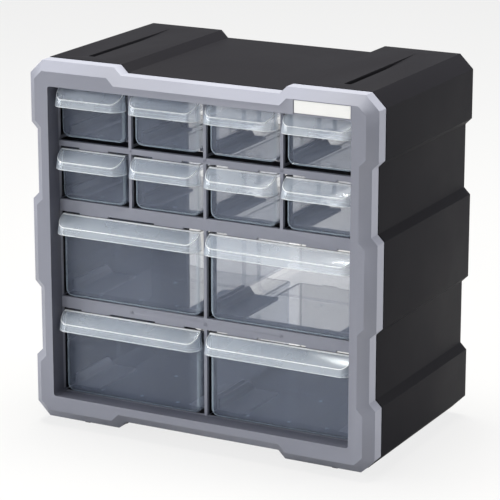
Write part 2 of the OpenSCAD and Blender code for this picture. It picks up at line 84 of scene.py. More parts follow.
# the housing: window, top grooves, keyholes, front tabs and rear ribs
HOUSING_Y, HOUSING_WALL, HOUSING_ROUND = 16.6, 2.5, 0.45
WINDOW_X, WINDOW_LOW, WINDOW_TOP, WINDOW_R, WINDOW_RIM, WINDOW_RIM_BITE = 94, 27, 233, 8, 2, 1.5
GROOVE_X, GROOVE_W, GROOVE_D, GROOVE_Y, GROOVE_L = 98.5, 5, 5, 30, 115
KEYHOLE_X, KEYHOLE_Z, KEYHOLE_R, KEYHOLE_SLOT_R, KEYHOLE_SLOT_L = 80, 241, 4.5, 2.3, 9
KEYHOLE_Y, KEYHOLE_END = CABINET_D - 6, CABINET_D + 2
TAB_W, TAB_L, TAB_TAPER = 7.2, 9, 1.6
REAR_RIB_X, REAR_RIB_W, REAR_RIB_L = 51.5, 6, 12

# the drawers' bins
BIN_FRONT, BIN_BACK, BIN_WALL, BIN_GAP, FLOOR_GAP = 13, 150, 1.5, 2.7, 0.4
SMALL_H, LARGE_H = 36.6, 60.8
BIN_EDGE_R, BIN_CORNER_R, BIN_ROUND = 6, 2.8, 0.3
RIM_OUT, RIM_H, RIM_SHORT, RIM_DROP = 0.9, 1.8, 0.3, 0.001
STOP_X, STOP_W, STOP_LOW, STOP_RISE = 30, 12, 2, 1
RIB_T, RIB_BITE, RIB_RISE, RIB_SHORT, RIB_SHINE_Z = 1.2, 0.3, 1, 6, 9
RIB_PAIR = (-2.2, 1)
EJECTOR_R, EJECTOR_H = 1.4, 0.3
SMALL_EJECTORS = [(0, 24), (0, 73)]
LARGE_EJECTORS = [(1, 24), (1, 73), (-30, 22), (30, 24)]

# the painted shade and highlight lines on a bin's clear plastic: how far under its rim they end, how deep
# the one at the front's foot reaches, and how far a face has to turn up, down or, times its x, outwards to
# be in one
TOP_LINE, SHADE_LINE_TOP, HIGHLIGHT_LINE_TOP, FOOT_SHADE_D = 0.4, 1, 2, 5
TURNED_UP, TURNED_DOWN, TURNED_OUT = 0.3, 0.25, 6

# the drawers' handles
HANDLE_H, HANDLE_SLOPE_H, HANDLE_Y, HANDLE_GAP = 13, 7.4, 1.8, 1.15
HANDLE_WALL, HANDLE_R, HANDLE_FLARE, HANDLE_ROUND, HANDLE_HIGHLIGHT_D = 1.3, 7.8, 1.4, 0.45, 1.1
CREASE_Y = HANDLE_Y + HANDLE_FLARE * (HANDLE_H - HANDLE_SLOPE_H) / HANDLE_H

# a welded piece reaches this far into what carries it, a cutting block this far past what it cuts,
# and some faces lie a hair inside others
WELD, PAST, HAIR = 0.6, 1, 0.01

# in tests, how far a point may be from its place, and how much a face or an edge looks one way:
# straight along an axis, nearly so, sloping to it, or only partly, as the faces of a rounding do
NEAR = 0.1
STRAIGHT, FACING, SLOPING, PARTLY = 0.99, 0.9, 0.5, 0.2

# in degrees, the least angle of an edge that shows as an edge, and the most that counts as flat
SMOOTH_ANGLE, FLAT_ANGLE = 35, 1

UPRIGHT, LYING = (0, 0, 0), (math.pi / 2, 0, 0)


def spot(x, y, z):
    """The place in the frame, in metres, of a point measured in millimetres on the cabinet."""
    return Vector((x, y - CABINET_D / 2, z + FOOT_H)) * MM


def measured(point):
    """The same the other way round: millimetres on the cabinet for a point of a mesh."""
    return Vector((point.x / MM, point.y / MM + CABINET_D / 2, point.z / MM - FOOT_H))


# ---- modelling ----


def select_only(*pieces):
    """Selects these pieces and nothing else, with the first one active."""
    bpy.ops.object.select_all(action="DESELECT")
    for piece in pieces:
        piece.select_set(True)
    bpy.context.view_layer.objects.active = pieces[0]


def settle(piece, name):
    """Brings a piece's place and size into its mesh, so that its object sits at the origin."""
    select_only(piece)
    bpy.ops.object.transform_apply(location=True, rotation=True, scale=True)
    piece.name = piece.data.name = name
    return piece


def slot_of(piece, material):
    """The number of the piece's material slot that holds a material."""
    return piece.data.materials.find(material.name)


class Editing:
    """Edit mode on one piece, with nothing selected on the way in."""

    def __init__(self, piece):
        self.piece = piece

    def __enter__(self):
        select_only(self.piece)
        bpy.ops.object.mode_set(mode="EDIT")
        bpy.ops.mesh.select_all(action="DESELECT")
        return self

    def __exit__(self, *failure):
        bpy.ops.object.mode_set(mode="OBJECT")

    def pick(self, kind, test):
        """Selects the faces, edges or vertices whose place in millimetres and direction pass the test."""
        bpy.ops.mesh.select_mode(type=kind)
        bpy.ops.mesh.select_all(action="DESELECT")
        mesh = bmesh.from_edit_mesh(self.piece.data)
        if kind == "FACE":
            for face in mesh.faces:
                face.select_set(test(measured(face.calc_center_median()), face.normal))
        elif kind == "EDGE":
            for edge in mesh.edges:
                ends = [measured(vert.co) for vert in edge.verts]
                edge.select_set(test((ends[0] + ends[1]) / 2, (ends[1] - ends[0]).normalized()))
        else:
            for vert in mesh.verts:
                vert.select_set(test(measured(vert.co), vert.normal))
        mesh.select_flush_mode()
        bmesh.update_edit_mesh(self.piece.data)

    def move(self, x=0, z=0):
        """Moves what is selected, in millimetres."""
        bpy.ops.transform.translate(value=Vector((x, 0, z)) * MM)

    def slice(self, point, normal):
        """Cuts all faces along a plane, and keeps both sides."""
        bpy.ops.mesh.select_all(action="SELECT")
        bpy.ops.mesh.bisect(plane_co=spot(*point), plane_no=normal)

    def round_off(self, radius, segments=5):
        """Rounds the selected edges, or cuts them straight with one segment."""
        bpy.ops.mesh.bevel(offset=radius * MM, offset_type="OFFSET", segments=segments,
                           profile=0.5, affect="EDGES", clamp_overlap=False)

    def paint(self, material, test):
        """Gives the faces that pass the test one of the materials that the piece holds."""
        self.pick("FACE", test)
        self.piece.active_material_index = slot_of(self.piece, material)
        bpy.ops.object.material_slot_assign()

    def drop(self, test):
        """Deletes the faces that pass the test."""
        self.pick("FACE", test)
        bpy.ops.mesh.delete(type="FACE")


def block(name, low, high):
    """A cube added at its size and place, between two corners."""
    low, high = spot(*low), spot(*high)
    bpy.ops.object.select_all(action="DESELECT")
    bpy.ops.mesh.primitive_cube_add(size=1, location=(low + high) / 2, scale=high - low)
    return settle(bpy.context.object, name)


def rod(name, centre, radius, length, turn, vertices=32):
    """A cylinder added at its size and place, upright or lying along Y."""
    bpy.ops.object.select_all(action="DESELECT")
    bpy.ops.mesh.primitive_cylinder_add(vertices=vertices, radius=radius * MM, depth=length * MM,
                                        location=spot(*centre), rotation=turn)
    return settle(bpy.context.object, name)


def finish_with(piece, kind, **settings):
    """Adds a modifier and applies it."""
    select_only(piece)
    modifier = piece.modifiers.new(kind.title(), kind)
    for name, value in settings.items():
        setattr(modifier, name, value)
    bpy.ops.object.modifier_apply(modifier=modifier.name)
    return piece


def combine(piece, operation, *others):
    """Cuts the others out of a piece or welds them onto it."""
    for other in others:
        finish_with(piece, "BOOLEAN", operation=operation, object=other, solver="EXACT",
                    material_mode="TRANSFER")
        bpy.data.objects.remove(other)
    return piece


def tidy_edges(piece, radius, angle=30, material=None):
    """Gives a moulding's edges the small radius that catches the light and, when a material is given, that
    material on the rounding: for the drawers a painted highlight.
    """
    finish_with(piece, "BEVEL", width=radius * MM, segments=2, limit_method="ANGLE",
                angle_limit=math.radians(angle), use_clamp_overlap=True, harden_normals=False,
                material=slot_of(piece, material) if material else -1)
    select_only(piece)
    bpy.ops.object.shade_smooth_by_angle(angle=math.radians(SMOOTH_ANGLE))
    return piece


def coat(piece, *materials):
    """Gives a piece the first material all over, in place of any that it had, and holds the others."""
    piece.data.materials.clear()
    for material in materials:
        piece.data.materials.append(material)
    piece.data.polygons.foreach_set("material_index", [0] * len(piece.data.polygons))
    return piece


def copy_of(piece, name, x, z):
    """A copy with its own mesh, moved across and up."""
    select_only(piece)
    bpy.ops.object.duplicate(linked=False)
    made = bpy.context.object
    bpy.ops.transform.translate(value=Vector((x, 0, z)) * MM)
    return settle(made, name)


def rounded_block(name, low, high, radius):
    """A block whose edges along Y are round, for the opening, the window and what is cut with them."""
    piece = block(name, low, high)
    with Editing(piece) as edit:
        edit.pick("EDGE", lambda at, way: abs(way.y) > STRAIGHT)
        edit.round_off(radius)
    return piece


# ---- the stepped outline ----


def stepped_body(name, front, back, inset=0.0):
    """A block with cut corners, two bands in each side and a channel in its top and bottom.

    With an inset, all its faces lie that much further in.
    """
    drift = inset * (math.sqrt(2) - 1)
    side, top = CABINET_W / 2 - inset, CABINET_H - inset
    piece = block(name, (-side, front, inset), (side, back, top))
    with Editing(piece) as edit:
        edit.pick("EDGE", lambda at, way: abs(way.y) > STRAIGHT)
        edit.round_off(CORNER_CUT - inset * (2 - math.sqrt(2)), segments=1)
    with Editing(piece) as edit:
        for low, high in BANDS:
            for z in (low - drift, low + SIDE_BAND - drift, high - SIDE_BAND + drift, high + drift):
                edit.slice((0, 0, z), (0, 0, 1))
        for x in (CHANNEL_W / 2 + drift, CHANNEL_W / 2 - CHANNEL_H + drift):
            edit.slice((x, 0, 0), (1, 0, 0))
            edit.slice((-x, 0, 0), (1, 0, 0))
        for sign in (-1, 1):
            for low, high in BANDS:
                inner = (low + SIDE_BAND - drift - HAIR, high - SIDE_BAND + drift + HAIR)
                edit.pick("VERT", lambda at, _: sign * at.x > side - NEAR and inner[0] < at.z < inner[1])
                edit.move(x=-sign * SIDE_BAND)
        reach = CHANNEL_W / 2 - CHANNEL_H + drift + HAIR
        edit.pick("VERT", lambda at, _: at.z > top - NEAR and abs(at.x) < reach)
        edit.move(z=-CHANNEL_H)
        edit.pick("VERT", lambda at, _: at.z < inset + NEAR and abs(at.x) < reach)
        edit.move(z=CHANNEL_H)
        bpy.ops.mesh.select_all(action="SELECT")
        bpy.ops.mesh.dissolve_limited(angle_limit=math.radians(FLAT_ANGLE))
    return piece


def bevelled_body(name, front, back, inset=0.0):
    """The stepped body with a bevel round its front face."""
    piece = stepped_body(name, front + BEVEL_D, back, inset)
    with Editing(piece) as edit:
        edit.pick("FACE", lambda at, way: way.y < -STRAIGHT)
        bpy.ops.mesh.inset(thickness=BEVEL_W * MM, depth=BEVEL_D * MM, use_even_offset=True)
    return piece


# ---- housing ----


def keyhole(side):
    """The hole that hangs the cabinet on a screw: a round end and a slot above it."""
    x, slot_end = side * KEYHOLE_X, KEYHOLE_Z + KEYHOLE_SLOT_L
    middle, length = (KEYHOLE_Y + KEYHOLE_END) / 2, KEYHOLE_END - KEYHOLE_Y
    hole = rod("keyhole", (x, middle, KEYHOLE_Z), KEYHOLE_R, length, LYING)
    slot_top = rod("keyhole_top", (x, middle, slot_end), KEYHOLE_SLOT_R, length, LYING)
    slot = block("keyhole_slot", (x - KEYHOLE_SLOT_R, KEYHOLE_Y, KEYHOLE_Z),
                 (x + KEYHOLE_SLOT_R, KEYHOLE_END, slot_end))
    return combine(hole, "UNION", slot, slot_top)


def wedge(name, side, width, front, low, top):
    """A wedge along a top groove, whose underside rises by the groove's depth towards the back."""
    x, back = side * GROOVE_X, GROOVE_Y + GROOVE_L
    piece = block(name, (x - width / 2, front, low), (x + width / 2, back, top))
    with Editing(piece) as edit:
        edit.pick("VERT", lambda at, _: at.y > back - NEAR and at.z < top - NEAR)
        edit.move(z=GROOVE_D)
    return piece


def groove(side):
    """What is cut from the top, where the front tab of a cabinet above stands."""
    return wedge("groove", side, GROOVE_W, GROOVE_Y, CABINET_H - GROOVE_D, CABINET_H + GROOVE_D + PAST)


def groove_bed(side):
    """The wall round a groove, under the top."""
    under = CABINET_H - HOUSING_WALL
    return wedge("bed", side, GROOVE_W + 2 * HOUSING_WALL, GROOVE_Y - HOUSING_WALL,
                 under - GROOVE_D, under + WELD)


def front_tab(side):
    """The tapered tab that stands in a groove of the cabinet below."""
    x = side * GROOVE_X
    piece = block("tab", (x - TAB_W / 2, HOUSING_Y, -FOOT_H), (x + TAB_W / 2, HOUSING_Y + TAB_L, WELD))
    with Editing(piece) as edit:
        for sign in (-1, 1):
            edit.pick("VERT", lambda at, _: at.z < 0 and sign * (at.x - x) > 0)
            edit.move(x=-sign * TAB_TAPER)
    return piece


def rear_rib(side):
    """The rib that the cabinet's back stands on, in the channel of the underside."""
    x = side * REAR_RIB_X
    return block("rib", (x - REAR_RIB_W / 2, CABINET_D - REAR_RIB_L, -FOOT_H),
                 (x + REAR_RIB_W / 2, CABINET_D - HAIR, CHANNEL_H + WELD))


def moulded_housing():
    """The black moulding: a stepped shell that is open at the front, and all that is moulded in it."""
    piece = stepped_body("moulded_housing", HOUSING_Y, CABINET_D)
    with Editing(piece) as edit:
        edit.drop(lambda at, way: way.y < -STRAIGHT)
    finish_with(piece, "SOLIDIFY", thickness=HOUSING_WALL * MM, offset=-1, use_even_offset=True)
    wall_y = CABINET_D - HOUSING_WALL
    rim_y = wall_y - WINDOW_RIM
    rim = rounded_block("rim", (-WINDOW_X - WINDOW_RIM, rim_y, WINDOW_LOW - WINDOW_RIM),
                        (WINDOW_X + WINDOW_RIM, wall_y + WINDOW_RIM_BITE, WINDOW_TOP + WINDOW_RIM),
                        WINDOW_R + WINDOW_RIM)
    combine(piece, "UNION", rim, *[make(side) for make in (front_tab, rear_rib, groove_bed)
                                   for side in (-1, 1)])
    window = rounded_block("window", (-WINDOW_X, rim_y - 2 * PAST, WINDOW_LOW),
                           (WINDOW_X, CABINET_D + 2 * PAST, WINDOW_TOP), WINDOW_R)
    combine(piece, "DIFFERENCE", window, *[make(side) for make in (groove, keyhole) for side in (-1, 1)])
    return tidy_edges(piece, HOUSING_ROUND)


# ---- front ----

Cell = namedtuple("Cell", ["name", "row", "x", "width", "low", "top"])


def cells():
    """The cells of the grid, by rows from the top and in each row from the left."""
    tops = {1: OPENING_TOP, 2: BARS[2][0], 3: BARS[1][0], 4: BARS[0][0]}
    lows = {1: BARS[2][1], 2: BARS[1][1], 3: BARS[0][1], 4: OPENING_LOW}
    for row in (1, 2, 3, 4):
        letters, width = ("abcd", SMALL_CELL) if row < 3 else ("ab", LARGE_CELL)
        for index, letter in enumerate(letters):
            x = -OPENING_X + width / 2 + index * (width + POST_T)
            yield Cell(f"{row}{letter}", row, x, width, lows[row], tops[row])


def stop_places(width):
    """Where a cell's lips and its drawer's stop tabs are: in the middle, or two where it is wide."""
    return (0,) if width <= SMALL_CELL else (-STOP_X, STOP_X)


def drawer_grid():
    """The flat grid of posts and bars, with the lips that stop the drawers."""
    grid_back = GRID_Y + GRID_T
    piece = block("drawer_grid", (-OPENING_X - GRID_MARGIN, GRID_Y, OPENING_LOW - GRID_MARGIN),
                  (OPENING_X + GRID_MARGIN, grid_back, OPENING_TOP + GRID_MARGIN))
    for cell in cells():
        hole = block("cell", (cell.x - cell.width / 2, GRID_Y - PAST, cell.low),
                     (cell.x + cell.width / 2, grid_back + PAST, cell.top))
        combine(piece, "DIFFERENCE", hole)
        for dx in stop_places(cell.width):
            lip = block("lip", (cell.x + dx - LIP_W / 2, GRID_Y, cell.top - LIP_H),
                        (cell.x + dx + LIP_W / 2, grid_back, cell.top + LIP_BITE))
            combine(piece, "UNION", lip)
    return piece


def gate_mark(x, z):
    """The small ring and nub that the moulding leaves on a bar."""
    piece = rod("gate_mark", (x, GRID_Y - GATE_FORWARD, z), GATE_R, GATE_L, LYING, vertices=24)
    with Editing(piece) as edit:
        edit.pick("FACE", lambda at, way: way.y < -FACING)
        for inwards, rise in GATE_STEPS:
            bpy.ops.mesh.inset(thickness=inwards * MM, depth=rise * MM)
    return piece


def through_opening(name, margin):
    """A block as wide and high as the opening and a margin round it, through the whole front."""
    return rounded_block(name, (-OPENING_X - margin, -PAST, OPENING_LOW - margin),
                         (OPENING_X + margin, FRONT_D + 2 * PAST, OPENING_TOP + margin),
                         OPENING_R + margin)


def front_moulding():
    """The grey moulding: a hollow bevelled frame with its spigot, grid, pocket and gate marks."""
    piece = bevelled_body("front_moulding", 0, FRONT_D, FRONT_STEP)
    hollow = bevelled_body("hollow", FRONT_WALL, FRONT_D + PAST, FRONT_STEP + FRONT_WALL)
    combine(hollow, "DIFFERENCE", through_opening("keep", FRONT_WALL))
    combine(piece, "DIFFERENCE", hollow, through_opening("opening", 0))
    spigot = stepped_body("spigot", SPIGOT_Y, SPIGOT_END, SPIGOT_INSET)
    bore = stepped_body("bore", SPIGOT_Y - PAST, SPIGOT_END + PAST, SPIGOT_INSET + SPIGOT_WALL)
    combine(spigot, "DIFFERENCE", bore)
    combine(piece, "UNION", spigot, drawer_grid())
    low, high = [measured(corner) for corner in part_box("label")]
    pocket = block("pocket", (low.x - POCKET_GAP, -PAST, low.z - POCKET_GAP),
                   (high.x + POCKET_GAP, POCKET_D, high.z + POCKET_GAP))
    combine(piece, "DIFFERENCE", pocket)
    combine(piece, "UNION", *[gate_mark(x, z) for x, z in GATE_PLACES])
    return tidy_edges(piece, FRONT_ROUND)


def shade_webs():
    """The webs behind the posts and bars, which close the gaps round the drawers from sight; their black is
    painted shade.
    """
    front = GRID_Y + GRID_T
    for cell in cells():
        left, right = cell.x - cell.width / 2, cell.x + cell.width / 2
        if not cell.name.endswith("a"):
            post_left = left - POST_T
            yield block("post_web", (post_left + POST_WEB_SIDE, front - WEB_BITE, cell.low + POST_WEB_LOW),
                        (left - POST_WEB_SIDE, front + POST_WEB_D, cell.top - POST_WEB_TOP))
        yield block("bar_web", (left - BAR_WEB_SIDE, front - WEB_BITE, cell.low - BAR_WEB_LOW),
                    (right + BAR_WEB_SIDE, front + BAR_WEB_D, cell.low - BAR_WEB_TOP))


# ---- drawers ----


def tray_block(name, width, front, back, low, high, edge_r, corner_r):
    """A block with round lower edges and round corners, for a bin and for its inside."""
    piece = block(name, (-width / 2, front, low), (width / 2, back, high))
    with Editing(piece) as edit:
        edit.pick("EDGE", lambda at, way: abs(way.y) > STRAIGHT and at.z < low + NEAR)
        edit.round_off(edge_r, segments=7)
        edit.pick("EDGE", lambda at, way: abs(way.y) < NEAR and at.z < high - NEAR
                  and (at.y < front + HAIR or at.y > back - HAIR))
        edit.round_off(corner_r)
    return piece


def bin_shell(width, height):
    """A bin's walls and floor: round lower edges, round corners, a rim and the stop tabs."""
    piece = tray_block("bin", width, BIN_FRONT, BIN_BACK, 0, height, BIN_EDGE_R, BIN_CORNER_R)
    rim = block("rim", (-width / 2 - RIM_OUT, BIN_FRONT + RIM_SHORT, height - RIM_H),
                (width / 2 + RIM_OUT, BIN_BACK - RIM_SHORT, height - RIM_DROP))
    with Editing(rim) as edit:
        edit.pick("EDGE", lambda at, way: abs(way.z) > STRAIGHT)
        edit.round_off(BIN_CORNER_R)
    tabs = [block("tab", (x - STOP_W / 2, BIN_BACK - BIN_WALL, height - STOP_LOW),
                  (x + STOP_W / 2, BIN_BACK - 2 * HAIR, height + STOP_RISE)) for x in stop_places(width)]
    combine(piece, "UNION", rim, *tabs)
    inner = tray_block("inner", width - 2 * BIN_WALL, BIN_FRONT + BIN_WALL, BIN_BACK - BIN_WALL,
                       BIN_WALL, height + 3 * PAST, BIN_EDGE_R - BIN_WALL, BIN_CORNER_R - BIN_WALL)
    return combine(piece, "DIFFERENCE", inner)


def rib_block(name, half_width, front, back, low, top):
    """A block as wide as a bin's inside, with the same round lower edges."""
    piece = block(name, (-half_width, front, low), (half_width, back, top))
    with Editing(piece) as edit:
        edit.pick("EDGE", lambda at, way: abs(way.y) > STRAIGHT and at.z < low + NEAR)
        edit.round_off(BIN_EDGE_R - BIN_WALL)
    return piece


def divider_rib(width, height, y):
    """A low rib across the floor and up both walls; a pair of them holds a divider."""
    half = (width - 2 * BIN_WALL) / 2
    piece = rib_block("rib", half + RIB_BITE, y, y + RIB_T, BIN_WALL - RIB_BITE, height - RIB_SHORT)
    hollow = rib_block("hollow", half - RIB_RISE, y - PAST, y + 3 * PAST, BIN_WALL + RIB_RISE, height)
    return combine(piece, "DIFFERENCE", hollow)


def ejector_mark(x, y):
    """The faint disc that an ejector pin leaves on the floor."""
    return rod("ejector_mark", (x, y, BIN_WALL), EJECTOR_R, EJECTOR_H, UPRIGHT, vertices=20)


def bin_painted_lines(height):
    """A bin's painted shade and highlight lines besides its walls' film, each with its faces, in the order
    in which they go on.
    """
    # the rim's upward faces get the grey film, painted shade that keeps them from glowing under the top
    # light
    yield CLEAR_TOP_SHADE, lambda at, way: way.z > TURNED_UP and at.z > height - TOP_LINE
    # inside, the upright corners and the round edge between front and floor get painted shade: dark lines
    yield CLEAR_PAINTED_SHADE, lambda at, way: (abs(way.x) > PARTLY and abs(way.y) > PARTLY and abs(way.z) < PARTLY
                                        and way.x * at.x < 0 and at.z < height - SHADE_LINE_TOP)
    yield CLEAR_PAINTED_SHADE, lambda at, way: (way.y > PARTLY and way.z > TURNED_UP
                                        and at.y < BIN_FRONT + FOOT_SHADE_D)
    # outside, the rounding along the front's sides and underside gets a painted grey-blue highlight line
    yield CLEAR_BLUE_HIGHLIGHT, lambda at, way: (way.y < -PARTLY and at.y < BIN_FRONT + BIN_CORNER_R
                                      and (way.x * at.x > TURNED_OUT or way.z < -TURNED_DOWN)
                                      and at.z < height - HIGHLIGHT_LINE_TOP)
    # the back walls and the front wall's inner face get grey and dark films, painted shade that dims what
    # is seen through them
    yield CLEAR_BACK_SHADE, lambda at, way: way.y > PARTLY and at.y > BIN_BACK - BIN_CORNER_R
    yield CLEAR_FRONT_SHADE, lambda at, way: way.y > FACING and at.y < BIN_FRONT + BIN_WALL + NEAR


def clear_bin(width, height):
    """The bin with its ribs and marks, and the painted shade and highlight lines on its rim and its
    corners.

    Its inner side and back faces are left out: a ray passes only so many clear surfaces.
    """
    piece = coat(bin_shell(width, height), CLEAR_WALL, CLEAR_EDGE_HIGHLIGHT, CLEAR_PAINTED_SHADE, CLEAR_BACK_SHADE, CLEAR_BLUE_HIGHLIGHT,
                 CLEAR_TOP_SHADE, CLEAR_FRONT_SHADE)
    tidy_edges(piece, BIN_ROUND, angle=40, material=CLEAR_EDGE_HIGHLIGHT)
    with Editing(piece) as edit:
        for material, test in bin_painted_lines(height):
            edit.paint(material, test)
    middle = (BIN_FRONT + BIN_BACK) / 2
    ribs = [coat(divider_rib(width, height, middle + dy), CLEAR_WALL, CLEAR_BLUE_HIGHLIGHT) for dy in RIB_PAIR]
    places = SMALL_EJECTORS if width <= SMALL_CELL else LARGE_EJECTORS
    # the ejector marks are real, and their grey-blue coat is a painted highlight
    marks = [coat(ejector_mark(x, y), CLEAR_BLUE_HIGHLIGHT) for x, y in places]
    for rib in ribs:
        with Editing(rib) as edit:
            # above this height the ribs' fronts get the painted highlight
            edit.slice((0, 0, RIB_SHINE_Z), (0, 0, 1))
            edit.paint(CLEAR_BLUE_HIGHLIGHT, lambda at, way: way.y < -FACING and at.z > RIB_SHINE_Z)
    combine(piece, "UNION", *ribs, *marks)
    side = width / 2 - BIN_WALL - NEAR
    with Editing(piece) as edit:
        edit.drop(lambda at, way: (way.x * at.x < -FACING * abs(at.x) and abs(at.x) > side)
                  or (way.y < -FACING and abs(at.y - BIN_BACK + BIN_WALL) < NEAR))
    return piece


def handle_block(name, width, height, inset, low, back):
    """A block with round front corners that leans inwards to its top, cut off by the slope."""
    slabs = []
    for z, further in ((low, inset), (height, inset + HANDLE_FLARE)):
        slab = block(name, (further - width / 2, HANDLE_Y + further, z - HAIR),
                     (width / 2 - further, back, z + HAIR))
        with Editing(slab) as edit:
            edit.pick("EDGE", lambda at, way: abs(way.z) > STRAIGHT and at.y < back - NEAR)
            edit.round_off(HANDLE_R - inset, segments=10)
        slabs.append(slab)
    select_only(*slabs)
    bpy.ops.object.join()
    slope = Vector((0, -HANDLE_SLOPE_H, BIN_FRONT - CREASE_Y)).normalized()
    with Editing(slabs[0]):
        bpy.ops.mesh.select_all(action="SELECT")
        bpy.ops.mesh.convex_hull()
        bpy.ops.mesh.select_all(action="SELECT")
        bpy.ops.mesh.bisect(plane_co=spot(0, BIN_FRONT, height) - slope * inset * MM, plane_no=slope,
                            use_fill=True, clear_outer=True)
        bpy.ops.mesh.select_all(action="SELECT")
        bpy.ops.mesh.remove_doubles(threshold=3 * HAIR * MM)
        bpy.ops.mesh.dissolve_limited(angle_limit=math.radians(FLAT_ANGLE))
        bpy.ops.mesh.normals_make_consistent(inside=False)
    return slabs[0]


def handle(width, height):
    """The handle: a hollow shell with a sloping top, a crease and a skirt, open at its foot and back."""
    low, highlight_y = height - HANDLE_H, BIN_FRONT - HANDLE_HIGHLIGHT_D
    piece = handle_block("handle", width, height, 0, low, BIN_FRONT + WELD)
    inner = handle_block("inner", width, height, HANDLE_WALL, low - PAST, BIN_FRONT)
    coat(combine(piece, "DIFFERENCE", inner), CLEAR_GRIP_LIT, CLEAR_EDGE_HIGHLIGHT)
    tidy_edges(piece, HANDLE_ROUND, angle=25, material=CLEAR_EDGE_HIGHLIGHT)
    with Editing(piece) as edit:
        edit.drop(lambda at, way: abs(way.y) > FACING and at.y > BIN_FRONT - HAIR)
        # the strip at the back of the handle's top gets the painted edge highlight
        edit.slice((0, highlight_y, 0), (0, 1, 0))
        edit.paint(CLEAR_EDGE_HIGHLIGHT, lambda at, way: way.z > SLOPING and at.y > highlight_y)
    return piece


def clear_drawer(name, cell_width, height):
    """One drawer, standing on z = 0 in the middle: a bin and the handle on its front."""
    piece = clear_bin(cell_width - 2 * BIN_GAP, height)
    select_only(piece, handle(cell_width - 2 * HANDLE_GAP, height))
    bpy.ops.object.join()
    piece.name = piece.data.name = name
    return piece


# ---- finishes ----


class Value:
    """A shader socket on which + * and ** add their Math nodes."""

    def __init__(self, nodes, socket):
        self.nodes, self.socket = nodes, socket

    def math(self, operation, first, second):
        return self.nodes.add("ShaderNodeMath", {"operation": operation}, {0: first, 1: second})

    def __add__(self, other):
        return self.math("ADD", self, other)

    def __radd__(self, other):
        return self.math("ADD", other, self)

    def __mul__(self, other):
        return self.math("MULTIPLY", self, other)

    def __rmul__(self, other):
        return self.math("MULTIPLY", other, self)

    def __pow__(self, other):
        return self.math("POWER", self, other)

    def __rpow__(self, other):
        return self.math("POWER", other, self)


class Nodes:
    """The node tree of a material or of the world."""

    def __init__(self, tree):
        self.tree = tree

    def add(self, kind, settings, inputs, output=0):
        """A node of any kind: its settings first, then the values or links of its sockets."""
        node = self.tree.nodes.new(kind)
        for name, value in settings.items():
            setattr(node, name, value)
        for name, value in inputs.items():
            self.feed(node.inputs[name], value)
        return Value(self, node.outputs[output])

    def feed(self, socket, value):
        """Links a socket to a shader value, or sets it to a plain one."""
        if isinstance(value, Value):
            self.tree.links.new(value.socket, socket)
        else:
            socket.default_value = value

    def seen_plainly(self):
        """1 where the camera looks straight or through clear plastic, and a part of it in reflections."""
        rays = {ray: self.add("ShaderNodeLightPath", {}, {}, f"Is {ray} Ray")
                for ray in ("Camera", "Transmission", "Glossy")}
        return rays["Camera"] + rays["Transmission"] + MIRRORED * rays["Glossy"]


class Finish(Nodes):
    """One material. What is the same all over is set on the shader; the rest comes through add."""

    def __init__(self, name, **uniform):
        self.material = bpy.data.materials.new(name)
        self.material.use_nodes = True
        super().__init__(self.material.node_tree)
        self.shader = self.tree.nodes["Principled BSDF"]
        self.shade(**uniform)
        self.place = self.add("ShaderNodeTexCoord", {}, {}, "Object")

    def shade(self, **sockets):
        """Sets or links sockets of the shader, whose names are written with _ for a space."""
        for name, value in sockets.items():
            self.feed(self.shader.inputs[name.replace("_", " ")], value)
        return self.material

    def grain(self, size, detail, roughness=0.5):
        """Noise whose patches are about size millimetres across."""
        return self.add("ShaderNodeTexNoise", {"noise_dimensions": "3D"},
                        {"Vector": self.place, "Scale": 1 / (size * MM), "Detail": detail,
                         "Roughness": roughness})

    def blend(self, share, first, second):
        """A colour between two others."""
        return self.add("ShaderNodeMix", {"data_type": "RGBA"},
                        {0: share, 6: first, 7: second}, 2)

    def relief(self, height, depth):
        """Raises the surface by the height value, over a depth in millimetres."""
        return self.add("ShaderNodeBump", {}, {"Distance": depth * MM, "Height": height})


def grey_plastic(name, dark, light):
    """Grey plastic with a fine matt texture, whose tone drifts a little."""
    finish = Finish(name, IOR=1.45)
    cloud, texture = finish.grain(38, 3), finish.grain(0.7, 3, 0.6)
    colour = finish.blend(cloud, dark, light)
    return finish.shade(Base_Color=colour, Roughness=0.42 + 0.1 * cloud + 0.1 * texture,
                        Normal=finish.relief(texture, 0.02))


def black_plastic():
    """Black plastic with a fine moulded texture and little gloss."""
    finish = Finish("black_plastic", IOR=1.14)
    cloud, texture = finish.grain(30, 3), finish.grain(0.55, 4, 0.7)
    colour = finish.blend(texture, (0.004, 0.004, 0.0058, 1), (0.0165, 0.016, 0.0195, 1))
    return finish.shade(Base_Color=colour, Roughness=0.42 + 0.12 * cloud + 0.2 * texture,
                        Normal=finish.relief(texture, 0.03))


def clear_plastic(name, dark, light, thinnest, turned, gloss=0.0):
    """Clear plastic: it covers what is behind it little face on, and more where the eye meets it flat."""
    finish = Finish(name, IOR=1.6, Metallic=gloss)
    cloud = finish.grain(30, 2)
    flat = finish.add("ShaderNodeLayerWeight", {}, {"Blend": 0.5}, "Facing")
    return finish.shade(Base_Color=finish.blend(cloud, dark, light), Roughness=0.08 + 0.12 * cloud,
                        Alpha=thinnest * (0.8 + 0.4 * cloud) + turned * flat ** 3)


def label_paper():
    """Plain white paper with a faint fibre."""
    finish = Finish("label_paper", IOR=1.45)
    fibre = finish.grain(0.5, 3)
    colour = finish.blend(fibre, (0.90, 0.90, 0.895, 1), (0.95, 0.95, 0.945, 1))
    return finish.shade(Base_Color=colour, Roughness=0.4 + 0.15 * fibre,
                        Normal=finish.relief(fibre, 0.01))


GREY = grey_plastic("grey_plastic", (0.235, 0.245, 0.30, 1), (0.26, 0.27, 0.325, 1))
# a darker copy of the grey plastic: painted shade for the inside faces of the opening
RECESS_SHADE_GREY = grey_plastic("recess_grey", (0.092, 0.096, 0.127, 1), (0.107, 0.112, 0.143, 1))
BLACK = black_plastic()
